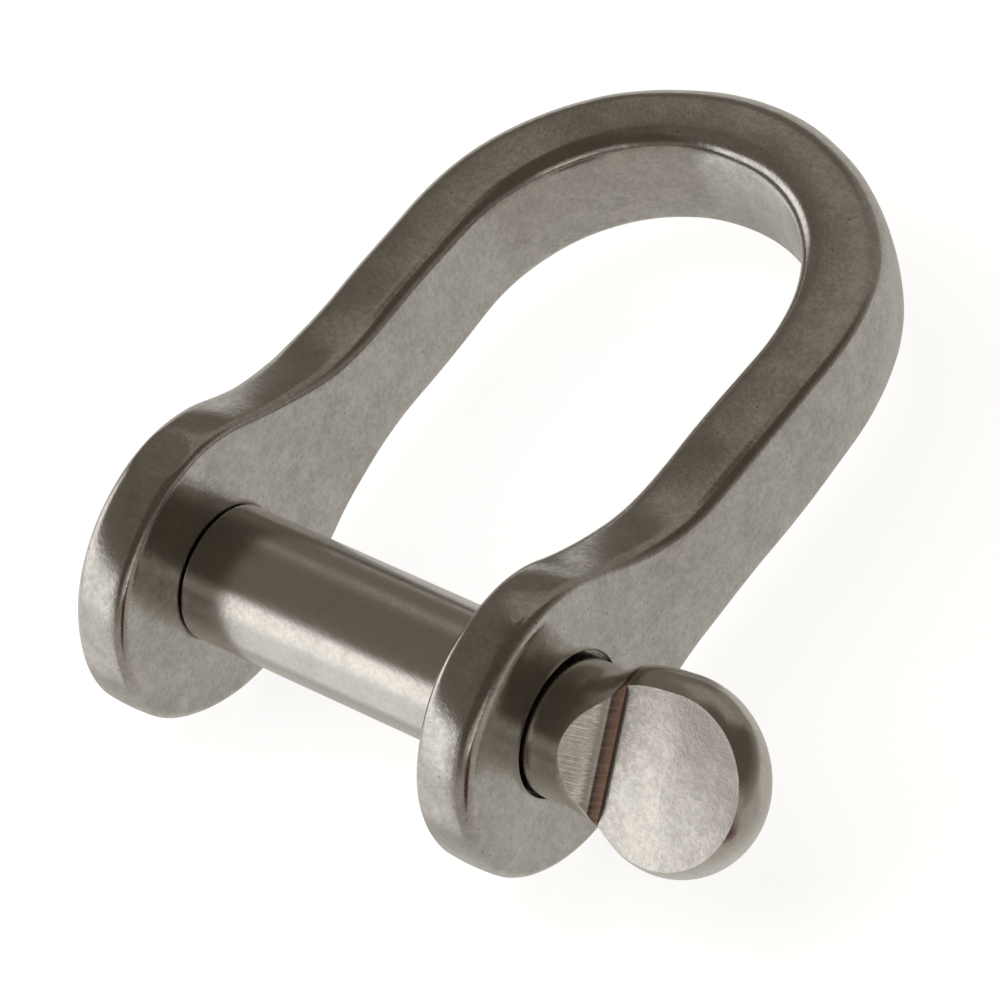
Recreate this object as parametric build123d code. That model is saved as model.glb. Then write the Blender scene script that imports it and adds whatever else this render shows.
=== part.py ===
"""Strip-type dee shackle with a key pin: a bent bow with two flat round ears, and the pin that closes it.

The bow lies flat. X runs along the pin, from the threaded ear to the ear with the plain hole. Y runs from
the pin to the crown. Z is up, square to the plane of the bow. The origin is on the pin's axis, midway
between the ears. All sizes are in millimetres.
"""
from build123d import *
import os
from math import sqrt

# --- driving dimensions: bow ---
JAW = 12.6                # clear gap between the ears
EAR_THICKNESS = 2.2
EAR_DIAMETER = 11.0
LEG_THICKNESS = 2.7       # where the legs meet the crown
CROWN_THICKNESS = 3.0    # at the middle of the crown
CROWN_INNER_RADIUS = 6.5
CROWN_CENTRE_Y = 15.4     # centre of the crown's inner half circle, from the pin's axis
STRIP_WIDTH = 5.0         # height of the strip in Z, at the legs
CROWN_WIDTH = 4.4         # the same at the crown
NECK_RADIUS = 14.0        # hollow between an ear's rim and the leg's edge
STRAIGHT_EAR_Y = 4.6      # the ears' faces stay flat and parallel up to here
INNER_EDGE_ROUND = 0.35
OUTER_EDGE_ROUND = 0.55

# --- driving dimensions: holes and pin ---
PIN_DIAMETER = 5.0
PLAIN_HOLE_DIAMETER = 5.35
SHOULDER_GAP = 0.08       # between the pin's shoulder and the threaded ear
SHOULDER_CHAMFER = 0.1
THREAD_PITCH = 0.7
TIP_CREST_DIAMETER = 3.9
TIP_CORE_DIAMETER = 3.1
TAPPED_CREST_GAP = 0.06   # radial: the tapped hole's crests stand clear, so the pin can be drawn straight out
TAPPED_GROOVE_DEPTH = 0.3
TIP_STANDS_PROUD = 0.25

# --- driving dimensions: coin-shaped head ---
HEAD_DIAMETER = 6.6
HEAD_THICKNESS = 1.9
HEAD_CENTRE_X = 13.1
HEAD_TURN = 44.5          # how far the flat head is turned about the pin's axis, degrees
HEAD_RIM_ROUND = 0.5
BEVEL_START_X = 9.83      # where the milled flats begin to cut into the round shank
BEVEL_END_X = 10.62
BEVEL_END_HALF = 1.80     # half thickness left where the bevel turns into the step
STEP_TOP_X = 10.86
STEP_TOP_HALF = 1.50
STEP_FOOT_X = 10.96       # where the coin's flat faces begin
ROOT_HALF_WIDTH = 2.2     # half width of the coin plate where it leaves the shank
ROOT_X = 9.6
ROOT_FILLET = 1.6

JAW_HALF = JAW / 2
EAR_RADIUS = EAR_DIAMETER / 2
EAR_OUTER_X = JAW_HALF + EAR_THICKNESS
LEG_OUTER_X = CROWN_INNER_RADIUS + LEG_THICKNESS
CROWN_OUTER_Y = CROWN_CENTRE_Y + CROWN_INNER_RADIUS + CROWN_THICKNESS
PIN_RADIUS = PIN_DIAMETER / 2
TAPPED_CREST_RADIUS = TIP_CREST_DIAMETER / 2 + TAPPED_CREST_GAP
HEAD_RADIUS = HEAD_DIAMETER / 2
HEAD_HALF = HEAD_THICKNESS / 2
TIP_X = -(EAR_OUTER_X + TIP_STANDS_PROUD)
SHOULDER_X = -(JAW_HALF - SHOULDER_GAP)


def u_face():
    """Plan outline of the bent strip: two legs from below the pin's axis up into the half-round crown."""
    foot_y = -EAR_RADIUS - 1
    with BuildSketch(Plane.XY.offset(-EAR_RADIUS - 1)) as sketch:
        with BuildLine():
            Line((JAW_HALF, foot_y), (JAW_HALF, STRAIGHT_EAR_Y))
            Spline((JAW_HALF, STRAIGHT_EAR_Y), (CROWN_INNER_RADIUS, CROWN_CENTRE_Y),
                   tangents=((0, 1), (0, 1)))
            CenterArc((0, CROWN_CENTRE_Y), CROWN_INNER_RADIUS, 0, 180)
            Spline((-CROWN_INNER_RADIUS, CROWN_CENTRE_Y), (-JAW_HALF, STRAIGHT_EAR_Y),
                   tangents=((0, -1), (0, -1)))
            Line((-JAW_HALF, STRAIGHT_EAR_Y), (-JAW_HALF, foot_y))
            Line((-JAW_HALF, foot_y), (-EAR_OUTER_X, foot_y))
            Line((-EAR_OUTER_X, foot_y), (-EAR_OUTER_X, STRAIGHT_EAR_Y))
            Spline((-EAR_OUTER_X, STRAIGHT_EAR_Y), (-LEG_OUTER_X, CROWN_CENTRE_Y),
                   tangents=((0, 1), (0, 1)))
            EllipticalCenterArc((0, CROWN_CENTRE_Y), LEG_OUTER_X, CROWN_OUTER_Y - CROWN_CENTRE_Y, 0, arc_size=180)
            Spline((LEG_OUTER_X, CROWN_CENTRE_Y), (EAR_OUTER_X, STRAIGHT_EAR_Y),
                   tangents=((0, -1), (0, -1)))
            Line((EAR_OUTER_X, STRAIGHT_EAR_Y), (EAR_OUTER_X, foot_y))
            Line((EAR_OUTER_X, foot_y), (JAW_HALF, foot_y))
        make_face()
    return sketch.sketch


def side_face():
    """Side outline of the strip: round ear, hollow necks, and an edge that narrows a little to the crown."""
    half = STRIP_WIDTH / 2
    crown_half = CROWN_WIDTH / 2
    neck_y = sqrt((EAR_RADIUS + NECK_RADIUS) ** 2 - (half + NECK_RADIUS) ** 2)
    touch = EAR_RADIUS / (EAR_RADIUS + NECK_RADIUS)
    touch_y = neck_y * touch
    touch_z = (half + NECK_RADIUS) * touch
    # a point part of the way along the hollow, between where it leaves the ear and where it meets the leg
    lower = Vector(touch_y - neck_y, touch_z - half - NECK_RADIUS)
    between = (lower + Vector(0, -NECK_RADIUS)).normalized() * NECK_RADIUS
    mid_y = neck_y + between.X
    mid_z = half + NECK_RADIUS + between.Y
    end_y = CROWN_OUTER_Y + 1
    with BuildSketch(Plane.YZ.offset(-EAR_OUTER_X - 2)) as sketch:
        with BuildLine():
            ThreePointArc((touch_y, touch_z), (-EAR_RADIUS, 0), (touch_y, -touch_z))
            ThreePointArc((touch_y, -touch_z), (mid_y, -mid_z), (neck_y, -half))
            Spline((neck_y, -half), (CROWN_CENTRE_Y, -crown_half), tangents=((1, 0), (1, 0)))
            Line((CROWN_CENTRE_Y, -crown_half), (end_y, -crown_half))
            Line((end_y, -crown_half), (end_y, crown_half))
            Line((end_y, crown_half), (CROWN_CENTRE_Y, crown_half))
            Spline((CROWN_CENTRE_Y, crown_half), (neck_y, half), tangents=((-1, 0), (-1, 0)))
            ThreePointArc((neck_y, half), (mid_y, mid_z), (touch_y, touch_z))
        make_face()
    return sketch.sketch


def rounded(body, inner, radius):
    """Round either the inner or the outer long edges of the strip. Only these edges are curved."""
    edges = ShapeList()
    for edge in body.edges().filter_by(GeomType.LINE, reverse=True):
        middle = edge @ 0.5
        beyond_centre = max(middle.Y - CROWN_CENTRE_Y, 0)
        is_inner = (middle.X ** 2 + beyond_centre ** 2) ** 0.5 < JAW_HALF + EAR_THICKNESS / 2
        if is_inner == inner:
            edges.append(edge)
    return fillet(edges, radius)


def bar(radius, start_x, end_x):
    """A round bar on the pin's axis."""
    return extrude(Plane.YZ.offset(start_x) * Circle(radius), amount=end_x - start_x)


def threaded_bar(start_x, end_x, core_radius, crest_radius):
    """A bar on the pin's axis with V ridges one pitch apart, counted from its start."""
    points = [(start_x, 0), (start_x, core_radius)]
    x = start_x
    while x + THREAD_PITCH <= end_x:
        points.append((x + THREAD_PITCH / 2, crest_radius))
        points.append((x + THREAD_PITCH, core_radius))
        x += THREAD_PITCH
    points.append((end_x, core_radius))
    points.append((end_x, 0))
    half_section = make_face(Polyline(points, close=True))
    return revolve(half_section, Axis.X, 360)


def bow():
    """The bent strip, its edges rounded, drilled plain in one ear and threaded in the other."""
    strip = extrude(u_face(), amount=2 * (EAR_RADIUS + 1))
    profile = extrude(side_face(), amount=2 * (EAR_OUTER_X + 2))
    body = (strip & profile).solid()
    body = rounded(body, True, INNER_EDGE_ROUND)
    body = rounded(body, False, OUTER_EDGE_ROUND)
    body -= bar(PLAIN_HOLE_DIAMETER / 2, 0, EAR_OUTER_X + 1)
    body -= threaded_bar(TIP_X - THREAD_PITCH, 0, TAPPED_CREST_RADIUS,
                         TAPPED_CREST_RADIUS + TAPPED_GROOVE_DEPTH)
    return body.solid()


def coin():
    """The flat round head, lying in the XY plane, with its short root that runs into the shank."""
    with BuildPart() as part:
        with BuildSketch(Plane.XY.offset(-HEAD_HALF)):
            with Locations((HEAD_CENTRE_X, 0)):
                Circle(HEAD_RADIUS)
            with Locations(((ROOT_X + HEAD_CENTRE_X) / 2, 0)):
                Rectangle(HEAD_CENTRE_X - ROOT_X, 2 * ROOT_HALF_WIDTH)
        extrude(amount=HEAD_THICKNESS)
    plate = part.part
    corners = [e for e in plate.edges().filter_by(Axis.Z) if ROOT_X + 0.1 < e.center().X < HEAD_CENTRE_X]
    plate = fillet(corners, ROOT_FILLET)
    rims = [e for e in plate.edges().filter_by(GeomType.LINE, reverse=True) if abs(e.center().Z) > HEAD_HALF / 2]
    return fillet(rims, HEAD_RIM_ROUND)


def shank_flats():
    """What is left of the round shank where the two milled flats run down to the coin's faces."""
    half = [
        (SHOULDER_X - 1, PIN_DIAMETER),
        (BEVEL_START_X, PIN_DIAMETER),
        (BEVEL_START_X, PIN_RADIUS),
        (BEVEL_END_X, BEVEL_END_HALF),
        (STEP_TOP_X, STEP_TOP_HALF),
        (STEP_FOOT_X, HEAD_HALF),
        (STEP_FOOT_X, 0),
        (SHOULDER_X - 1, 0),
    ]
    upper = make_face(Plane.XZ * Polyline(half, close=True))
    upper = extrude(upper, amount=PIN_DIAMETER, both=True)
    return upper + mirror(upper, Plane.XY)


def key_pin():
    """Shank, threaded tip and coin-shaped head in one piece."""
    shank = bar(PIN_RADIUS, SHOULDER_X, STEP_FOOT_X)
    shank = chamfer(shank.edges().group_by(Axis.X)[0], SHOULDER_CHAMFER)
    head = (shank & shank_flats()) + coin()
    head = Rot(HEAD_TURN, 0, 0) * head
    tip = threaded_bar(TIP_X, SHOULDER_X + SHOULDER_CHAMFER, TIP_CORE_DIAMETER / 2, TIP_CREST_DIAMETER / 2)
    return (head + tip).solid()


if __name__ == "__main__":
    os.makedirs("parts", exist_ok=True)
    for name, shape in (("bow", bow()), ("key_pin", key_pin())):
        print(name, shape.is_valid, shape.volume, shape.bounding_box())
        export_step(shape, f"parts/{name}.step")
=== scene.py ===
from math import atan2, cos, hypot, pi, radians, sin

import bmesh
import bpy
import numpy as np
from mathutils import Matrix, Vector, noise


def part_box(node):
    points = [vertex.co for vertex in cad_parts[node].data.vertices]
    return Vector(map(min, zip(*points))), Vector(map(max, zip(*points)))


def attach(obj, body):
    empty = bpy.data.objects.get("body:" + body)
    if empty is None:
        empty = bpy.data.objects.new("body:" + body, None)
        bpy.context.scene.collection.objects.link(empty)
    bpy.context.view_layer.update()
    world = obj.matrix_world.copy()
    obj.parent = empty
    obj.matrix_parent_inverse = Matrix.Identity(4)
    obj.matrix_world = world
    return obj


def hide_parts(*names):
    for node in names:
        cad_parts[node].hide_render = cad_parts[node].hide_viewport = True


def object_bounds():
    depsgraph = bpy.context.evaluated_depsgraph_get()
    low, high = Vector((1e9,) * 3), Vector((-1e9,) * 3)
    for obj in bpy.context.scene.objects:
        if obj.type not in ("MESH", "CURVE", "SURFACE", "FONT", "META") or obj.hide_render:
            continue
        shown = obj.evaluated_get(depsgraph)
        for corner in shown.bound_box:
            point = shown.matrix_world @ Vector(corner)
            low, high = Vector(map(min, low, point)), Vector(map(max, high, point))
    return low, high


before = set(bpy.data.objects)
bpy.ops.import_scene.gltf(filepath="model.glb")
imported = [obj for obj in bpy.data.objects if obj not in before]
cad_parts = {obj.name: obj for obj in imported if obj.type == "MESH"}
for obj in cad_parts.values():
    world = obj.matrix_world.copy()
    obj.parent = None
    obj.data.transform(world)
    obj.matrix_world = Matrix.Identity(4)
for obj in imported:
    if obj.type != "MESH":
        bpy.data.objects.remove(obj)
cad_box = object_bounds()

# A strip-type dee shackle in stainless steel: the bent bow and the key pin that closes it.
# The frame is the CAD's: X along the pin, Y from the pin to the crown, Z up, origin on the pin's axis
# midway between the ears. Shapes are worked out in millimetres and stored in metres.

MM = 0.001
SEED = 11

# --- places taken from the frame, in millimetres ---
BOW_LOW = np.array(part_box("bow")[0]) / MM
PIN_LOW, PIN_HIGH = (np.array(corner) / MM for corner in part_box("key_pin"))
FLOOR_Z = BOW_LOW[2]

# --- bow ---
JAW_HALF = 6.3             # from the middle plane to an ear's inner face
CROWN_HALF = 6.47          # from the middle plane to a leg's inner face, where the legs meet the crown
STRAIGHT_Y = 4.6           # the ears are flat and parallel up to here
LEG_FULL_Y = 12.0          # here the legs have spread to CROWN_HALF
CROWN_START_Y = 14.74
CROWN_INNER_Y = 21.8       # inner top of the crown
CROWN_SQUARENESS = 2.047   # exponent of the crown's inner curve; 2 is an ellipse
EAR_RADIUS = -BOW_LOW[1] - 0.05
NECK_RADIUS = 13.97        # hollow between an ear's rim and the leg's edge
LEG_HALF_WIDTH = 2.45      # half of the strip's height in Z, at the legs
CROWN_HALF_WIDTH = 2.18    # the same at the crown
EAR_END, LEG_START = 3.5, 8.5                    # the strip thickens from the ear to the leg between these
EAR_THICKNESS = 2.2
LEG_THICKNESS = 2.45
SHOULDER_THICKNESS = 2.66  # half way round the crown's corner
TOP_THICKNESS = 2.555
LEG_BULGE_OUT = 0.21       # how far the outer face is crowned across the strip
CROWN_START_BULGE_OUT = 0.168
SHOULDER_BULGE_OUT = 0.25
TOP_BULGE_OUT = 0.52
LEG_BULGE_IN = 0.16
CROWN_BULGE_IN = 0.08
EAR_EDGE_INNER, EAR_EDGE_OUTER = 0.36, 0.42      # edge rounding on the ears
EAR_EDGE_TILT = 0.12                             # the outer one is rounder at the top of the rim
NECK_EDGE_INNER, NECK_EDGE_OUTER = 0.5, 0.65     # in the necks
LEG_EDGE_INNER, LEG_EDGE_OUTER = 0.5, 0.46       # on the legs
CROWN_EDGE_INNER = 0.62                          # and round the crown, on its upper side
CROWN_EDGE_OUTER = 0.7
LOW_LEG_EDGE, LOW_CROWN_EDGE = 0.42, 0.27        # the inner edges on the lower side
INNER_EDGE_PLACES = (3.0, 6.8, 10.0)             # where the ear's, neck's and leg's roundings are full
OUTER_EDGE_PLACES = (3.0, 4.8, 8.0)
EAR_RIM_CROWN, LEG_RIM_CROWN = 0.08, 0.04        # how far the rim bulges between its two roundings
RIM_CROWN_PLACES = (3.0, 8.0)
RIM_LEAN = 0.6             # share of the bulge's slope that the roundings end at
PLAIN_HOLE_RADIUS = 2.6
PLAIN_HOLE_CENTRE = (0.03, 0.05)                 # the pin lies low in its hole
HOLE_EDGE_BREAK = 0.07
TAPPED_CREST_RADIUS = 2.01
TAPPED_GROOVE = 0.28
COUNTERSINK_RADIUS = 2.38

# Mesh cells of half the bow: along a leg, round an ear, across a leg, and from a hole to the ear's rim.
LEG_CELLS, EAR_CELLS, ACROSS_CELLS, RING_CELLS = 90, 120, 20, 9
PLAN_SAMPLES, OUTLINE_SAMPLES = 900, 1500        # of the smooth curves that the mesh's stations lie on
EDGE_POINTS, RIM_POINTS = (8, 9), 9              # over each rounding of the rim, and between them
PLAIN_HOLE_RINGS, TAPPED_HOLE_RINGS = 8, 41
PLAIN_HOLE_INSET = 0.3     # the rings of the plain hole's straight wall start this far from its faces
SUPPORT = 0.14             # the flat faces start this far inside the edge rounding
JUNCTION = 6.4             # the ear's ring of faces ends here, and the leg's rows begin

# Hand-forged unevenness. On the side outline: leg (-1 threaded, 1 plain), place along and across the
# strip, reach, and height out from the outline.
OUTLINE_LUMPS = (
    (-1, 3.8, 4.4, 2.6, 0.20),
    (-1, 0.6, 5.4, 2.6, 0.14),
    (-1, 5.8, 3.4, 1.6, 0.10),
    (-1, -5.1, -2.0, 2.0, 0.10),
    (-1, -2.3, -4.9, 2.2, -0.12),
    (-1, 7.4, -2.9, 3.0, -0.15),
    (1, 7.2, 2.9, 2.1, -0.26),
    (1, 4.6, 4.2, 2.2, -0.12),
    (1, -4.9, -2.3, 2.2, 0.04),
)
# On the faces: leg, place along the strip, reach, and how far the inner and outer face move outward.
FACE_LUMPS = (
    (1, 12.0, 4.5, -0.13, 0.09),
    (1, 17.5, 3.0, -0.08, 0.0),
    (1, 18.8, 2.6, 0.0, 0.07),
    (1, 22.6, 1.7, 0.0, -0.06),
    (-1, 17.2, 3.2, 0.0, 0.12),
    (-1, 22.8, 1.6, 0.0, -0.04),
)
LUMPS_FADE = 2.5           # where the halves of the crown meet, the lumps fade out over this length

# --- pin ---
PIN_RADIUS = 2.455
SHOULDER_X = -(JAW_HALF - 0.03)
SHOULDER_CHAMFER = 0.05
TIP_X = PIN_LOW[0]
TIP_END_RADIUS = 1.5       # of the flat end
UNDERCUT_LENGTH = 0.3      # between the thread and the shoulder
THREAD_RUNOUT = 0.25       # the thread fades out over this length
THREAD_LOOPS = 48
THREAD_PITCH = 0.7
THREAD_CREST_RADIUS = 1.94
THREAD_CORE_RADIUS = 1.56
HEAD_TURN = radians(44.8)  # the coin's plane is turned about the pin's axis
NECK_X = 9.0               # the head's outline starts to leave the round shank
SHANK_LOOPS, NECK_LOOPS = 62, 12                 # mesh loops before NECK_X, and from there to the bevel
WAIST, WAIST_X = 0.16, (9.1, 9.9)                # how far the outline draws in before the coin, and where
FLARE_SLOPE, FLARE_BLEND = 0.62, 0.25
FLARE_START_X = (8.9, 9.6)
COIN_SHOULDER = {1: 0.28, -1: 0.02}              # the flare meets the coin wider than round, on each side
COIN_CENTRE_X = 12.99
COIN_RADIUS = PIN_HIGH[0] - 0.02 - COIN_CENTRE_X
COIN_HALF = 0.965
FACE_CENTRE = (13.05, -0.12)                     # of the flat faces' round edge, a little off centre
FACE_RADIUS = 2.93
FACE_ROOT_HALF = 2.38      # half width of the flat where it meets the step
BEVEL_X = (9.83, 10.42, 10.60, 10.80, 10.96)     # a milled flat: the bevel and its bends, then the step
BEVEL_HALF = (PIN_RADIUS, 1.95, 1.77, 1.50, COIN_HALF)
BEVEL_LOOPS = (7, 3, 3, 4)                       # mesh loops over each stretch between those places
FACE_EDGE_X = 9.9          # from here to the step, the flats' edge moves to FACE_ROOT_HALF
FACE_EDGE_ANGLE = 50       # and takes the shank with it up to this many degrees round it
RIM_SPREAD, RIM_SPREAD_X = 0.9, (9.6, 10.1)      # before the flats, the flare reaches further round
SWELL_ANGLE, SWELL_POWER = radians(98), 1.5      # behind this angle, the coin's edge swells to its root
STEP_SKEW = -0.06          # the step was milled a little out of square to the pin
SKEW_STATIONS = (9.3, 10.5, BEVEL_X[-1], 12.6)   # the skew grows, holds and dies away along the head
COIN_DOME = 0.05           # the coin's flats swell a little towards their middle
COIN_LOOPS = 48
SPINE_SHARE = 0.35         # the ribs leave a flat's root over this share of the loops, then fan out
EDGE_ANGLE = np.arcsin(COIN_HALF / PIN_RADIUS)   # where the flats end, seen from the pin's axis
FACE_CELLS, RIM_CELLS = 18, 14                   # mesh cells over half a flat, and over the coin's rim

# --- steel ---
BOW_LIGHT, BOW_DARK = (0.64, 0.622, 0.59), (0.41, 0.393, 0.365)
PIN_LIGHT, PIN_DARK = (0.70, 0.678, 0.64), (0.60, 0.578, 0.54)
PIT_COLOUR = (0.16, 0.13, 0.11)
STEP_TOP_PAINTED_REFLECTION, STEP_FOOT_PAINTED_REFLECTION = (0.11, 0.08, 0.065), (0.40, 0.235, 0.19)  # painted reflection on the step: dark at its top, warm brown at its foot
BUMP_HEIGHT = 0.02
CLOUD_SCALE, MOTTLE_SCALE, SPECK_SCALE, FINE_SCALE = 0.5, 1.5, 5.0, 14.0     # noise, per millimetre
PIT_SCALE, PIT_RADII = 2.0, (0.03, 0.11)         # pits per millimetre, and from their floor to their edge
STREAK_SCALE = 7.0
# Unevenness of the surfaces: wavelength and height.
BOW_WEATHER = ((7.0, 0.03), (2.4, 0.022), (0.9, 0.006))
PIN_WEATHER = ((2.2, 0.014), (0.7, 0.003))
HOLE_CLEAR, HOLE_FADE = 2.8, 0.8                 # from the pin's axis: the bow stays smooth at its holes
SHANK_CLEAR_X, SHANK_FADE = 10.9, 0.6            # the pin stays smooth up to here
BOW_SHARP, PIN_SHARP = radians(60), radians(25)  # edges keep a crisp line above these angles

# --- studio ---
ROOM_LOW, ROOM_HIGH = (0.25, 0.225, 0.195), (0.10, 0.084, 0.065)
TABLE_NEAR, TABLE_FAR = (0.68, 0.66, 0.62), (0.42, 0.39, 0.35)
BACKDROP = (0.97, 0.97, 0.97)
PAPER = (0.8, 0.8, 0.8)
FLOOR_GLOW = 0.8
FLOOR_REACH = 1500.0
SOFTBOX_PLACE, SOFTBOX_TARGET = (-40, -30, 160), (2, 9, -5)
SOFTBOX_SIZE, SOFTBOX_WATTS = 160, 0.05
# What stands out in the room: azimuth and half width, lowest and highest elevation and softness in
# degrees, then its colour. Later ones cover earlier ones.
WORLD_PATCHES = (
    (-118, 44, 8, 56, 5, (0.172, 0.150, 0.122)),   # wall at the back left
    (-66, 50, 30, 75, 6, (0.165, 0.142, 0.115)),   # ceiling over the softbox
    (-172, 40, 34, 62, 4, (0.32, 0.288, 0.247)),   # lighter wall behind
    (172, 22, 4, 40, 5, (0.27, 0.245, 0.212)),     # and the wall under that
    (150, 40, -62, -4, 5, (0.58, 0.555, 0.52)),    # table behind, in the light
    (-148, 44, -40, 4, 2, (0.60, 0.575, 0.54)),
    (-61, 37, -44, 0, 5, (0.90, 0.88, 0.85)),      # pool of light on the table
    (-61, 37, -4, 26, 6, (1.32, 1.29, 1.25)),      # low softbox at the front left
    (50, 28, 8, 26, 3, (0.42, 0.39, 0.35)),        # pale wall on the camera's side
    (57, 14, 7, 13, 1.5, (1.10, 1.04, 0.94)),
    (54, 13, -28, 5, 2, (0.09, 0.03, 0.026)),      # something dark red in front of it
)
CAMERA_AZIMUTH, CAMERA_ELEVATION, CAMERA_ROLL = radians(52.22), radians(47.95), radians(-20.5)
CAMERA_TARGET = (0.26, 6.98, -0.43)
CAMERA_DISTANCE = 208.4
CAMERA_LENS, SENSOR_WIDTH = 221.1, 36


def eased(value, places, levels):
    """A smooth curve through levels at places, level at each of them."""
    value = np.asarray(value, float)
    result = np.full(value.shape, float(levels[0]))
    for p, q, low, high in zip(places, places[1:], levels, levels[1:]):
        t = np.clip((value - p) / (q - p), 0, 1)
        result = result + (high - low) * t * t * (3 - 2 * t)
    return result


def softer_max(a, b, blend):
    """The larger of two values, rounded over where they are close."""
    return 0.5 * (a + b + np.sqrt((a - b) ** 2 + blend ** 2))


class Mesh:
    """Collects grids of points, in millimetres, and welds them into one closed mesh."""

    def __init__(self):
        self.points = []
        self.faces = []

    def grid(self, rows, closed=False):
        """rows is an array [row, column, xyz]. closed joins the last column to the first."""
        rows = np.asarray(rows, float)
        count, width = rows.shape[:2]
        first = len(self.points)
        self.points.extend(rows.reshape(-1, 3).tolist())
        for r in range(count - 1):
            for c in range(width if closed else width - 1):
                d = (c + 1) % width
                a = first + r * width
                self.faces.append((a + c, a + d, a + width + d, a + width + c))

    def build(self, name, weld=0.002):
        """The welded mesh as a new object, normals outward, sharing vertices wherever grids meet."""
        data = bpy.data.meshes.new(name)
        data.from_pydata([Vector(p) * MM for p in self.points], [], self.faces)
        piece = bpy.data.objects.new(name, data)
        bpy.context.scene.collection.objects.link(piece)
        work = bmesh.new()
        work.from_mesh(data)
        bmesh.ops.remove_doubles(work, verts=work.verts, dist=weld * MM)
        bmesh.ops.dissolve_degenerate(work, dist=weld * MM / 4, edges=work.edges)
        bmesh.ops.recalc_face_normals(work, faces=work.faces)
        work.to_mesh(data)
        work.free()
        return piece


# ---------------------------------------------------------------- bow

def plan_line():
    """Inner face of one leg and half the crown, seen from above. Distance 0 is beside the pin's axis."""
    leg_y = np.linspace(-EAR_RADIUS - 0.5, CROWN_START_Y, PLAN_SAMPLES)
    leg_x = eased(leg_y, (STRAIGHT_Y, LEG_FULL_Y), (JAW_HALF, CROWN_HALF))
    turn = np.linspace(0, pi / 2, PLAN_SAMPLES)[1:]
    power = 2 / CROWN_SQUARENESS
    crown_x = CROWN_HALF * np.clip(np.cos(turn), 0, 1) ** power
    crown_y = CROWN_START_Y + (CROWN_INNER_Y - CROWN_START_Y) * np.sin(turn) ** power
    x, y = np.append(leg_x, crown_x), np.append(leg_y, crown_y)
    step = np.hypot(np.diff(x), np.diff(y))
    along = np.append(0, np.cumsum(step))
    along -= np.interp(0, y, along)
    tangent_x, tangent_y = np.gradient(x, along), np.gradient(y, along)
    tangent_x[-1], tangent_y[-1] = -1, 0
    return along, x, y, tangent_y, -tangent_x


PLAN = plan_line()
CROWN_TOP = PLAN[0][-1]
CROWN_START = np.interp(CROWN_START_Y, PLAN[2], PLAN[0])
CROWN_SHOULDER = (CROWN_START + CROWN_TOP) / 2
NECK_END = ((EAR_RADIUS + NECK_RADIUS) ** 2 - (LEG_HALF_WIDTH + NECK_RADIUS) ** 2) ** 0.5
NECK_START = NECK_END * EAR_RADIUS / (EAR_RADIUS + NECK_RADIUS)
STATIONS = (EAR_END, LEG_START, CROWN_START, CROWN_SHOULDER, CROWN_TOP)


def half_width(along):
    """Half height of the strip, beyond the ear's round part."""
    hollow = np.sqrt(np.maximum(NECK_RADIUS ** 2 - (NECK_END - np.minimum(along, NECK_END)) ** 2, 0))
    neck = LEG_HALF_WIDTH + NECK_RADIUS - hollow
    return neck + eased(along, (NECK_END, CROWN_SHOULDER), (0, CROWN_HALF_WIDTH - LEG_HALF_WIDTH))


def thickness(along):
    levels = (EAR_THICKNESS, LEG_THICKNESS, LEG_THICKNESS, SHOULDER_THICKNESS, TOP_THICKNESS)
    return eased(along, STATIONS, levels)


def on_bow(along, across, depth, side):
    """World place of a point of the strip: along it, across it in Z, and depth out from the inner face."""
    across_share = np.clip(1 - (across / half_width(np.maximum(along, NECK_START))) ** 2, 0, 1)
    bulges = (0, LEG_BULGE_OUT, CROWN_START_BULGE_OUT, SHOULDER_BULGE_OUT, TOP_BULGE_OUT)
    bulge_out = eased(along, STATIONS, bulges)
    bulge_in = eased(along, STATIONS[:3], (0, LEG_BULGE_IN, CROWN_BULGE_IN))
    share = depth / thickness(along)
    depth = depth + across_share * (bulge_out * share - bulge_in * (1 - share))
    meeting = eased(along, (CROWN_TOP - LUMPS_FADE, CROWN_TOP), (1, 0))
    for leg, place, reach, inner, outer in FACE_LUMPS:
        if leg == side:
            lump = meeting * np.exp(-((along - place) / reach) ** 2)
            depth = depth + lump * (inner + (outer - inner) * share)
    x, y, normal_x, normal_y = (np.interp(along, PLAN[0], column) for column in PLAN[1:])
    return np.stack([side * (x + normal_x * depth), y + normal_y * depth, across + 0 * along], -1)


def bow_outline(side):
    """Stations round one half of the strip's side outline, from the crown down the upper edge, round the
    ear and back: (along, across) of each, and the unit normal that points into the strip."""
    legs = np.linspace(CROWN_TOP, NECK_START, OUTLINE_SAMPLES)
    start = atan2(half_width(NECK_START), NECK_START)
    turn = np.linspace(start, pi, PLAN_SAMPLES)[1:]
    along = np.append(legs, EAR_RADIUS * np.cos(turn))
    across = np.append(half_width(legs), EAR_RADIUS * np.sin(turn))
    length = np.append(0, np.cumsum(np.hypot(np.diff(along), np.diff(across))))
    junction = np.interp(-JUNCTION, -legs, length[:OUTLINE_SAMPLES])
    leg_stations = np.linspace(0, junction, LEG_CELLS + 1)
    ear_stations = np.linspace(junction, length[-1], EAR_CELLS // 2 + 1)[1:]
    where = np.append(leg_stations, ear_stations)
    tangent = np.stack([np.gradient(along, length), np.gradient(across, length)], -1)
    tangent[-1] = (0, -1)
    tangent[0] = (-1, 0)
    point = np.stack([np.interp(where, length, column) for column in (along, across)], -1)
    slope = np.stack([np.interp(where, length, column) for column in tangent.T], -1)
    slope /= np.linalg.norm(slope, axis=1)[:, None]
    inward = np.stack([-slope[:, 1], slope[:, 0]], -1)
    flip = np.array([1, -1])
    point = np.append(point, point[-2::-1] * flip, 0)
    inward = np.append(inward, inward[-2::-1] * flip, 0)
    moved = point.copy()
    for leg, place, level, reach, height in OUTLINE_LUMPS:
        if leg == side:
            nearness = np.exp(-((point - (place, level)) ** 2).sum(1) / reach ** 2)
            moved -= inward * (nearness * height)[:, None]
    return moved, inward


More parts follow.
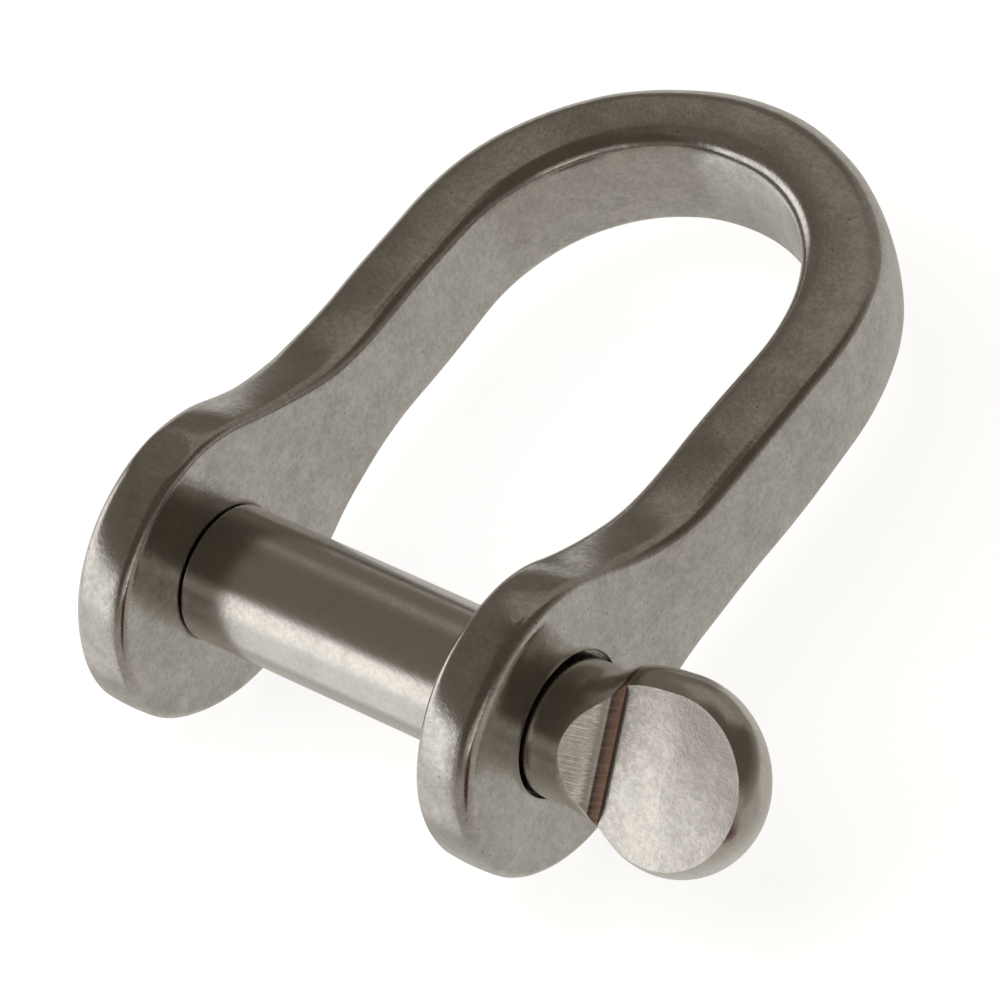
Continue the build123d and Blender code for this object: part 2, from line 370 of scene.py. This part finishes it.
def rim_profile(station):
    """Inset from the outline and depth, from the inner face's edge round the rim to the outer face's."""
    along, across = station
    full = thickness(along)
    rounding = (EAR_EDGE_INNER, NECK_EDGE_INNER, LEG_EDGE_INNER, LEG_EDGE_INNER, CROWN_EDGE_INNER)
    if across < 0:
        rounding = (EAR_EDGE_INNER, LOW_LEG_EDGE, LOW_LEG_EDGE, LOW_LEG_EDGE, LOW_CROWN_EDGE)
    inner = float(eased(along, (*INNER_EDGE_PLACES, CROWN_START, CROWN_SHOULDER), rounding))
    ear_outer = EAR_EDGE_OUTER + EAR_EDGE_TILT * across / EAR_RADIUS
    rounding = (ear_outer, NECK_EDGE_OUTER, LEG_EDGE_OUTER, LEG_EDGE_OUTER, CROWN_EDGE_OUTER)
    outer = float(eased(along, (*OUTER_EDGE_PLACES, CROWN_START, CROWN_SHOULDER), rounding))
    crown = float(eased(along, RIM_CROWN_PLACES, (EAR_RIM_CROWN, LEG_RIM_CROWN)))
    lean = 4 * crown / full * RIM_LEAN
    centre_in = crown * 0.5 + inner
    centre_out = crown * 0.5 + outer
    profile = [(centre_in + SUPPORT, 0)]
    for turn in np.linspace(pi / 2, lean, EDGE_POINTS[0]):
        profile.append((centre_in - inner * cos(turn), inner - inner * sin(turn)))
    low, high = profile[-1], (centre_out - outer * cos(lean), full - outer + outer * sin(lean))
    for t in np.linspace(0, 1, RIM_POINTS)[1:-1]:
        inset = low[0] + (high[0] - low[0]) * t - crown * 4 * t * (1 - t) * 0.5
        profile.append((inset, low[1] + (high[1] - low[1]) * t))
    for turn in np.linspace(lean, pi / 2, EDGE_POINTS[1]):
        profile.append((centre_out - outer * cos(turn), full - outer + outer * sin(turn)))
    profile.append((centre_out + SUPPORT, full))
    return np.array(profile)


def hole_depths(tapped):
    """Depths from the inner face of the rings of a hole's wall."""
    if tapped:
        return np.linspace(0, EAR_THICKNESS, TAPPED_HOLE_RINGS)
    broken = HOLE_EDGE_BREAK * np.array([0, 0.4, 1])
    straight = np.linspace(PLAIN_HOLE_INSET, EAR_THICKNESS - PLAIN_HOLE_INSET, PLAIN_HOLE_RINGS)
    return np.concatenate([broken, straight, EAR_THICKNESS - broken[::-1]])


def hole_ring(depth, angle, tapped):
    """(along, across) of a hole's wall at one depth, for each angle round it."""
    to_face = min(depth, EAR_THICKNESS - depth)
    if tapped:
        phase = depth / THREAD_PITCH - angle / (2 * pi)
        thread = TAPPED_CREST_RADIUS + TAPPED_GROOVE * (0.5 - 0.5 * np.cos(2 * pi * phase))
        radius = np.maximum(thread, COUNTERSINK_RADIUS - to_face)
        return np.stack([radius * np.cos(angle), radius * np.sin(angle)], -1)
    gone = max(0, 1 - to_face / HOLE_EDGE_BREAK)
    radius = PLAIN_HOLE_RADIUS + HOLE_EDGE_BREAK * (1 - (1 - gone ** 2) ** 0.5)
    return PLAIN_HOLE_CENTRE + radius * np.stack([np.cos(angle), np.sin(angle)], -1)


def bow_half(mesh, side, tapped):
    """One leg with its ear and half the crown. Its grids share their edge points, so they weld shut."""
    outline, inward = bow_outline(side)
    profiles = np.array([rim_profile(station) for station in outline])
    place = outline[:, None] + inward[:, None] * profiles[:, :, :1]
    mesh.grid(on_bow(place[..., 0], place[..., 1], profiles[..., 1], side))
    last = len(outline) - 1
    share = np.linspace(0, 1, ACROSS_CELLS + 1)[None, :, None]
    out = np.linspace(0, 1, RING_CELLS + 1)[:, None, None]
    angle = None
    for column, level in ((0, 0), (-1, EAR_THICKNESS)):
        edge = np.append(place[:, column], profiles[:, column, 1:], 1)
        upper, lower = edge[:LEG_CELLS + 1, None], edge[last - LEG_CELLS:][::-1, None]
        rows = upper + (lower - upper) * share
        mesh.grid(on_bow(*np.moveaxis(rows, -1, 0), side))
        ring = np.append(edge[LEG_CELLS:last - LEG_CELLS + 1], rows[-1, -2:0:-1], 0)
        if angle is None:
            angle = np.arctan2(ring[:, 1], ring[:, 0])
        hole = np.append(hole_ring(level, angle, tapped), np.full((len(angle), 1), level), 1)
        disc = hole + (ring - hole) * out
        mesh.grid(on_bow(*np.moveaxis(disc, -1, 0), side), closed=True)
    wall = []
    for depth in hole_depths(tapped):
        ring = hole_ring(depth, angle, tapped)
        wall.append(on_bow(ring[:, 0], ring[:, 1], depth + 0 * angle, side))
    mesh.grid(wall, closed=True)


def bow_forging():
    mesh = Mesh()
    bow_half(mesh, 1, False)
    bow_half(mesh, -1, True)
    return mesh.build("bow_forging")


# ---------------------------------------------------------------- pin

def loop_angles():
    """Angles of one loop round the pin, from the top of the milled flat round the + side to the bottom
    and back up the - side. The coin's rim takes the stretch between the two flats."""
    top = np.linspace(pi / 2, EDGE_ANGLE, FACE_CELLS + 1)
    rim = np.linspace(EDGE_ANGLE, -EDGE_ANGLE, RIM_CELLS + 1)[1:-1]
    plus = np.concatenate([top, rim, -top[::-1]])
    return np.concatenate([plus, pi - plus[1:-1][::-1]])


# For each angle of a loop: its side (0 on the middle line), its height on a unit circle, how far it is
# from the middle of the rim (1 at the flats' edge), whether it is on the rim, and how far out on a flat.
ANGLES = loop_angles()
SIDE = np.sign(np.round(np.cos(ANGLES), 9))
HEIGHT = np.sin(ANGLES)
RIM_SHARE = np.abs(HEIGHT) / np.sin(EDGE_ANGLE)
ON_RIM = RIM_SHARE < 1 - 1e-9
OUT_SHARE = np.clip(np.abs(np.cos(ANGLES)) / np.cos(EDGE_ANGLE), 0, 1)


def coin_side(side):
    """Half width of the coin's outline at the foot of the step."""
    back = COIN_CENTRE_X - BEVEL_X[-1]
    return (COIN_RADIUS ** 2 - back ** 2) ** 0.5 + COIN_SHOULDER[side]


def root_half_width(x, side):
    """Half width of the head's outline between the shank and the coin: a slight waist, then the flare."""
    shank = PIN_RADIUS - eased(x, WAIST_X, (0, WAIST))
    flare = coin_side(side) - FLARE_SLOPE * (BEVEL_X[-1] - x)
    merged = softer_max(shank, flare, FLARE_BLEND)
    return shank + (merged - shank) * eased(x, FLARE_START_X, (0, 1))


def shank_loop(x):
    """A loop of the shank. x is one value for each point of the loop."""
    x = x + 0 * ANGLES
    width = np.where(SIDE >= 0, root_half_width(x, 1), root_half_width(x, -1)) / PIN_RADIUS
    root_scale = FACE_ROOT_HALF / (PIN_RADIUS * np.cos(EDGE_ANGLE))
    edge = 1 + (root_scale - 1) * eased(x, (FACE_EDGE_X, BEVEL_X[-1]), (0, 1))
    from_side = np.abs(np.degrees(np.arcsin(HEIGHT)))
    near_edge = eased(from_side, (np.degrees(EDGE_ANGLE), FACE_EDGE_ANGLE), (1, 0))
    spread = 1 + RIM_SPREAD * eased(x, RIM_SPREAD_X, (1, 0))
    bulge = np.clip(1 - (RIM_SHARE / spread) ** 2, 0, 1)
    scale = 1 + (edge - 1) * near_edge + (width - edge) * bulge
    return np.stack([x, PIN_RADIUS * np.cos(ANGLES) * scale, PIN_RADIUS * HEIGHT], -1)


def thread_loops():
    """The flat end of the tip, the threaded length, the undercut and the shoulder."""
    def ring(x, radius):
        return np.stack([x + 0 * ANGLES, radius * np.cos(ANGLES), radius * np.sin(ANGLES)], -1)

    loops = [ring(TIP_X, share * TIP_END_RADIUS) for share in (0, 0.4, 0.8, 1)]
    undercut_x = SHOULDER_X - UNDERCUT_LENGTH
    for x in np.linspace(TIP_X + 0.06, undercut_x, THREAD_LOOPS):
        phase = x / THREAD_PITCH + ANGLES / (2 * pi)
        height = 0.5 + 0.5 * np.cos(2 * pi * phase)
        grown = THREAD_CORE_RADIUS + (THREAD_CREST_RADIUS - THREAD_CORE_RADIUS) * height
        start = np.minimum(grown, TIP_END_RADIUS + (x - TIP_X))
        ended = min(1, (undercut_x - x) / THREAD_RUNOUT)
        loops.append(ring(x, THREAD_CORE_RADIUS + (start - THREAD_CORE_RADIUS) * ended))
    loops.append(ring(SHOULDER_X - 0.05, THREAD_CORE_RADIUS))
    for radius in (THREAD_CORE_RADIUS + 0.05, 2.0, PIN_RADIUS - SHOULDER_CHAMFER):
        loops.append(ring(SHOULDER_X, radius))
    return loops


def head_loops():
    """The bevel and step down to the flats, then the round coin."""
    depth = np.clip(np.abs(HEIGHT) * PIN_RADIUS, COIN_HALF, PIN_RADIUS)
    crease_x = np.interp(depth, BEVEL_HALF[::-1], BEVEL_X[::-1])
    loops = [shank_loop(NECK_X + (crease_x - NECK_X) * t) for t in np.linspace(0, 1, NECK_LOOPS + 1)[1:]]
    crease = loops[-1]
    levels = [np.linspace(*ends)[1:] for ends in zip(BEVEL_X, BEVEL_X[1:], BEVEL_LOOPS)]
    for level in np.concatenate(levels):
        row = crease.copy()
        row[:, 0] = np.where(ON_RIM, crease[:, 0], np.maximum(crease_x, level))
        half = np.interp(row[:, 0], BEVEL_X, BEVEL_HALF)
        row[:, 2] = np.where(ON_RIM, crease[:, 2], np.sign(HEIGHT) * half)
        loops.append(row)
    return loops + coin_loops(loops[-1])


def coin_loops(foot):
    """Ribs that fan out over the flats and round the rim, from the foot of the step to the coin's tip."""
    step_foot = np.array([BEVEL_X[-1], 0])
    bulge = (1 - RIM_SHARE ** 2)[:, None]
    loops = []
    for t in np.linspace(0, 1, COIN_LOOPS + 1)[1:]:
        spine = step_foot + (FACE_CENTRE - step_foot) * eased(t, (0, SPINE_SHARE), (0, 1))
        row = np.zeros((len(ANGLES), 3))
        row[SIDE == 0, :2] = spine
        for side in (1, -1):
            middle = np.argmin(np.abs(HEIGHT) + (SIDE != side))
            face = coin_edge(t, FACE_CENTRE, FACE_RADIUS, (BEVEL_X[-1], side * FACE_ROOT_HALF), side)
            rim = coin_edge(t, (COIN_CENTRE_X, 0), COIN_RADIUS, foot[middle, :2], side)
            flat = spine + (face - spine) * OUT_SHARE[:, None]
            curved = face + (rim - face) * bulge
            plan = np.where(ON_RIM[:, None], curved, flat)
            row[SIDE == side, :2] = plan[SIDE == side]
        dome = COIN_DOME * (1 - OUT_SHARE ** 2) * eased(t, (0, 0.4), (0, 1))
        on_flat = np.sign(HEIGHT) * (COIN_HALF + dome)
        row[:, 2] = np.where(ON_RIM, COIN_HALF * HEIGHT / np.sin(EDGE_ANGLE), on_flat)
        loops.append(row)
    return loops


def coin_edge(t, centre, radius, root, side):
    """A point of a round edge that swells towards its root: t is 0 at the root and 1 at the tip."""
    back, out = root[0] - centre[0], root[1] - centre[1]
    start = abs(atan2(out, back))
    turn = start * (1 - t)
    swell = hypot(back, out) - radius
    share = max(0, (turn - SWELL_ANGLE) / (start - SWELL_ANGLE))
    reach = radius + swell * share ** SWELL_POWER
    return np.array([centre[0] + reach * cos(turn), centre[1] + side * reach * sin(turn)])


def key_pin_forging():
    mesh = Mesh()
    shank = [shank_loop(x) for x in np.linspace(SHOULDER_X + SHOULDER_CHAMFER, NECK_X, SHANK_LOOPS)]
    loops = np.array(thread_loops() + shank + head_loops())
    across, up = loops[..., 1].copy(), loops[..., 2].copy()
    loops[..., 0] += STEP_SKEW * across * eased(loops[..., 0], SKEW_STATIONS, (0, 1, 1, 0))
    loops[..., 1] = across * cos(HEAD_TURN) - up * sin(HEAD_TURN)
    loops[..., 2] = across * sin(HEAD_TURN) + up * cos(HEAD_TURN)
    mesh.grid(loops, closed=True)
    return mesh.build("key_pin_forging")


# ---------------------------------------------------------------- finish of the surfaces

def weather(piece, layers, keep_off):
    """Moves the vertices in and out a little along their normals, as forging and tumbling leave them.
    layers are (wavelength, height) pairs; keep_off(point) gives 0 where nothing may move. No vertex
    leaves the CAD model's box."""
    work = bmesh.new()
    work.from_mesh(piece.data)
    work.normal_update()
    moved = []
    for vertex in work.verts:
        point = vertex.co / MM
        shift = 0
        for index, (wavelength, height) in enumerate(layers):
            offset = Vector((SEED * 7.3 + index * 31.7, SEED * 3.1, index * 17.9))
            shift += height * noise.noise(point / wavelength + offset)
        moved.append(vertex.co + vertex.normal * (shift * keep_off(point) * MM))
    low, high = cad_box
    for vertex, place in zip(work.verts, moved):
        vertex.co = [min(max(place[i], low[i]), high[i]) for i in range(3)]
    work.to_mesh(piece.data)
    work.free()


def shade(piece, sharp_angle):
    """Smooth shading, with a crisp edge wherever two faces meet at more than the angle."""
    work = bmesh.new()
    work.from_mesh(piece.data)
    for face in work.faces:
        face.smooth = True
    for edge in work.edges:
        edge.smooth = not (edge.is_manifold and edge.calc_face_angle(0) > sharp_angle)
    work.to_mesh(piece.data)
    work.free()


class Nodes:
    """Short calls for building a node tree."""

    def __init__(self, tree):
        self.tree = tree
        tree.nodes.clear()

    def add(self, kind, inputs=None, **settings):
        node = self.tree.nodes.new(kind)
        for key, value in settings.items():
            setattr(node, key, value)
        for key, value in (inputs or {}).items():
            socket = node.inputs[key]
            if isinstance(value, bpy.types.NodeSocket):
                self.tree.links.new(value, socket)
            else:
                socket.default_value = value
        return node

    def math(self, operation, a, b=0.0, clamp=False):
        return self.add("ShaderNodeMath", {0: a, 1: b}, operation=operation, use_clamp=clamp).outputs[0]

    def ramp(self, value, low, high, to_low=0.0, to_high=1.0):
        inputs = {"Value": value, "From Min": low, "From Max": high, "To Min": to_low, "To Max": to_high}
        return self.add("ShaderNodeMapRange", inputs, interpolation_type="SMOOTHSTEP").outputs[0]

    def noise(self, vector, scale, detail=2.0, roughness=0.5):
        inputs = {"Vector": vector, "Scale": scale, "Detail": detail, "Roughness": roughness}
        return self.add("ShaderNodeTexNoise", inputs).outputs["Fac"]

    def dot(self, vector, direction):
        inputs = {0: vector, 1: direction}
        return self.add("ShaderNodeVectorMath", inputs, operation="DOT_PRODUCT").outputs["Value"]

    def mix(self, factor, a, b):
        node = self.add("ShaderNodeMix", data_type="RGBA")
        for socket, value in ((node.inputs[0], factor), (node.inputs[6], a), (node.inputs[7], b)):
            if isinstance(value, bpy.types.NodeSocket):
                self.tree.links.new(value, socket)
            else:
                socket.default_value = value
        return node.outputs[2]


def steel(name, light, dark, roughness, grain, soft, pits, streaks=False):
    """Tumbled stainless steel: fine grain, cloudy tarnish, scattered pits. Streaks are milling marks, only
    on the bevels and steps that lead to the coin's flats; with them the step also gets a painted
    reflection, dark at its top and warm brown at its foot."""
    material = bpy.data.materials.new(name)
    material.use_nodes = True
    n = Nodes(material.node_tree)
    coordinates = n.add("ShaderNodeTexCoord").outputs["Object"]
    place = n.add("ShaderNodeVectorMath", {0: coordinates, 1: (1 / MM, 1 / MM, 1 / MM)},
                  operation="MULTIPLY").outputs[0]
    cloud = n.ramp(n.noise(place, CLOUD_SCALE, 3.0, 0.5), 0.3, 0.7)
    mottle = n.ramp(n.noise(place, MOTTLE_SCALE, 2.0, 0.5), 0.3, 0.7)
    speck = n.ramp(n.noise(place, SPECK_SCALE, 3.0, 0.75), 0.3, 0.7)
    fine = n.noise(place, FINE_SCALE, 2.0, 0.6)
    cell = n.add("ShaderNodeTexVoronoi", {"Vector": place, "Scale": PIT_SCALE, "Randomness": 1.0},
                 feature="F1").outputs["Distance"]
    pit = n.math("MULTIPLY", n.ramp(cell, *PIT_RADII, 1.0, 0.0), n.ramp(mottle, 0.4, 0.65))
    finer = n.math("ADD", n.math("MULTIPLY", mottle, 0.25), n.math("MULTIPLY", speck, 0.5))
    tone = n.math("ADD", n.math("MULTIPLY", cloud, 0.25), finer, clamp=True)
    rough = n.ramp(tone, 0.1, 0.9, roughness + 0.05, roughness - 0.04)
    height = n.math("ADD", n.math("MULTIPLY", fine, 1.0 - soft), n.math("MULTIPLY", speck, soft))
    height = n.math("SUBTRACT", height, n.math("MULTIPLY", pit, 2.0 * pits))
    if streaks:
        across_coin = (0, cos(HEAD_TURN), sin(HEAD_TURN))
        along_pin = (1, -STEP_SKEW * across_coin[1], -STEP_SKEW * across_coin[2])
        beside = n.dot(place, across_coin)
        square_x = n.dot(place, along_pin)
        before_coin = n.ramp(square_x, BEVEL_X[-1], BEVEL_X[-1] + 0.03, 1.0, 0.0)
        past_start = n.ramp(square_x, BEVEL_X[0] - 0.1, BEVEL_X[0])
        past_step_top = n.ramp(square_x, BEVEL_X[-2] - 0.02, BEVEL_X[-2] + 0.02)
        on_bevel = n.math("MULTIPLY", past_start, before_coin)
        on_step = n.math("MULTIPLY", past_step_top, before_coin)
        lined = n.add("ShaderNodeCombineXYZ", {"X": beside}).outputs[0]
        lines = n.ramp(n.noise(lined, STREAK_SCALE, 3.0, 0.7), 0.3, 0.7)
        height = n.math("ADD", height, n.math("MULTIPLY", n.math("MULTIPLY", lines, on_bevel), 2.0))
        uneven = n.math("MULTIPLY", n.math("SUBTRACT", lines, 0.5), on_bevel)
        tone = n.math("ADD", tone, uneven, clamp=True)
    colour = n.mix(tone, (*dark, 1), (*light, 1))
    if streaks:
        # painted reflection on the step: its colour runs from dark at the step's top to warm brown at its
        # foot
        down_step = n.ramp(square_x, BEVEL_X[-2], BEVEL_X[-1])
        tint = n.mix(down_step, (*STEP_TOP_PAINTED_REFLECTION, 1), (*STEP_FOOT_PAINTED_REFLECTION, 1))
        colour = n.mix(n.math("MULTIPLY", on_step, n.ramp(lines, 0.0, 1.0, 1.0, 0.75)), colour, tint)
    colour = n.mix(n.math("MULTIPLY", pit, pits), colour, (*PIT_COLOUR, 1))
    bump_inputs = {"Strength": grain, "Distance": BUMP_HEIGHT * MM, "Height": height}
    bump = n.add("ShaderNodeBump", bump_inputs).outputs[0]
    shader = n.add("ShaderNodeBsdfPrincipled", {
        "Base Color": colour, "Metallic": 1.0, "Roughness": rough, "Normal": bump})
    n.add("ShaderNodeOutputMaterial", {"Surface": shader.outputs[0]})
    return material


# ---------------------------------------------------------------- studio

def studio_floor():
    """A wide pale floor under the shackle. It stays out of the steel's reflections, because studio_world
    already holds a table."""
    data = bpy.data.meshes.new("studio_floor")
    corners = [(-1, -1), (1, -1), (1, 1), (-1, 1)]
    points = [Vector((x * FLOOR_REACH, y * FLOOR_REACH, FLOOR_Z)) * MM for x, y in corners]
    data.from_pydata(points, [], [(0, 1, 2, 3)])
    floor = bpy.data.objects.new("studio_floor", data)
    bpy.context.scene.collection.objects.link(floor)
    floor.visible_glossy = False
    material = bpy.data.materials.new("studio_floor")
    material.use_nodes = True
    n = Nodes(material.node_tree)
    paper = n.add("ShaderNodeBsdfDiffuse", {"Color": (*PAPER, 1)})
    glow = n.add("ShaderNodeEmission", {"Color": (1, 1, 1, 1), "Strength": FLOOR_GLOW})
    both = n.add("ShaderNodeAddShader", {0: paper.outputs[0], 1: glow.outputs[0]})
    n.add("ShaderNodeOutputMaterial", {"Surface": both.outputs[0]})
    data.materials.append(material)


def studio_world():
    """What the steel reflects: a dim warm room above a pale table, and WORLD_PATCHES over both. Azimuth is
    0 towards -Y and 90 degrees towards +X. The camera itself sees a plain backdrop."""
    world = bpy.data.worlds.new("studio")
    bpy.context.scene.world = world
    world.use_nodes = True
    n = Nodes(world.node_tree)
    direction = n.add("ShaderNodeTexCoord").outputs["Generated"]
    level = n.add("ShaderNodeVectorMath", {0: direction, 1: (1, 1, 0)}, operation="MULTIPLY").outputs[0]
    level = n.add("ShaderNodeVectorMath", {0: level}, operation="NORMALIZE").outputs[0]
    elevation = n.math("ARCSINE", n.add("ShaderNodeSeparateXYZ", {0: direction}).outputs["Z"])

    def rise(value, low, high):
        return n.ramp(value, radians(low), radians(high))

    def fall(value, low, high):
        return n.ramp(value, radians(low), radians(high), 1.0, 0.0)

    room = n.mix(rise(elevation, 0, 30), (*ROOM_LOW, 1), (*ROOM_HIGH, 1))
    table = n.mix(rise(elevation, -85, -20), (*TABLE_NEAR, 1), (*TABLE_FAR, 1))
    colour = n.mix(rise(elevation, -8, 6), table, room)
    for azimuth, half, low, high, soft, tint in WORLD_PATCHES:
        centre = (sin(radians(azimuth)), -cos(radians(azimuth)), 0)
        beside = fall(n.math("ARCCOSINE", n.dot(level, centre)), half - soft, half + soft)
        above = rise(elevation, low - soft, low + soft)
        below = fall(elevation, high - soft, high + soft)
        band = n.math("MULTIPLY", above, below)
        colour = n.mix(n.math("MULTIPLY", beside, band), colour, (*tint, 1))
    camera_ray = n.add("ShaderNodeLightPath").outputs["Is Camera Ray"]
    colour = n.mix(camera_ray, colour, (*BACKDROP, 1))
    background = n.add("ShaderNodeBackground", {"Color": colour, "Strength": 1.0})
    n.add("ShaderNodeOutputWorld", {"Surface": background.outputs[0]})


def overhead_softbox():
    """A wide soft light from above, which lights the floor round the shackle's shadow."""
    data = bpy.data.lights.new("overhead_softbox", "AREA")
    data.shape = "SQUARE"
    data.size = SOFTBOX_SIZE * MM
    data.energy = SOFTBOX_WATTS
    light = bpy.data.objects.new("overhead_softbox", data)
    light.location = Vector(SOFTBOX_PLACE) * MM
    light.rotation_mode = "QUATERNION"
    light.rotation_quaternion = (Vector(SOFTBOX_TARGET) - Vector(SOFTBOX_PLACE)).to_track_quat("-Z", "Y")
    light.visible_glossy = False
    bpy.context.scene.collection.objects.link(light)


def camera():
    """Looks down on the shackle from beyond the plain ear, a little rolled."""
    flat = Vector((sin(CAMERA_AZIMUTH), -cos(CAMERA_AZIMUTH), 0))
    back = flat * cos(CAMERA_ELEVATION) + Vector((0, 0, sin(CAMERA_ELEVATION)))
    right = Vector((cos(CAMERA_AZIMUTH), sin(CAMERA_AZIMUTH), 0))
    up = back.cross(right)
    rolled_right = right * cos(CAMERA_ROLL) + up * sin(CAMERA_ROLL)
    rolled_up = up * cos(CAMERA_ROLL) - right * sin(CAMERA_ROLL)
    data = bpy.data.cameras.new("camera")
    data.lens = CAMERA_LENS
    data.sensor_width = SENSOR_WIDTH
    data.clip_start, data.clip_end = 0.01, 10
    view = bpy.data.objects.new("camera", data)
    axes = Matrix((rolled_right, rolled_up, back)).transposed().to_4x4()
    view.matrix_world = Matrix.Translation((Vector(CAMERA_TARGET) + back * CAMERA_DISTANCE) * MM) @ axes
    bpy.context.scene.collection.objects.link(view)
    bpy.context.scene.camera = view


def bow_keep_off(point):
    """0 beside the holes, 1 well away from them."""
    from_axis = hypot(point.y, point.z)
    return min(1, max(0, (from_axis - HOLE_CLEAR) / HOLE_FADE))


def pin_keep_off(point):
    """0 on the thread and on the shank that turns in the holes, 1 on the coin."""
    return min(1, max(0, (point.x - SHANK_CLEAR_X) / SHANK_FADE))


bow = bow_forging()
weather(bow, BOW_WEATHER, bow_keep_off)
shade(bow, BOW_SHARP)
tumbled = steel("bow_steel_tumbled", BOW_LIGHT, BOW_DARK, roughness=0.17, grain=0.12, soft=1.0, pits=0.8)
bow.data.materials.append(tumbled)
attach(bow, "bow")
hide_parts("bow")

pin = key_pin_forging()
weather(pin, PIN_WEATHER, pin_keep_off)
shade(pin, PIN_SHARP)
satin = steel("pin_steel_satin", PIN_LIGHT, PIN_DARK, roughness=0.2, grain=0.12, soft=0.4, pits=0.3,
              streaks=True)
pin.data.materials.append(satin)
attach(pin, "pin")
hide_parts("key_pin")

studio_floor()
studio_world()
overhead_softbox()
camera()
bpy.context.scene.view_settings.view_transform = "Standard"
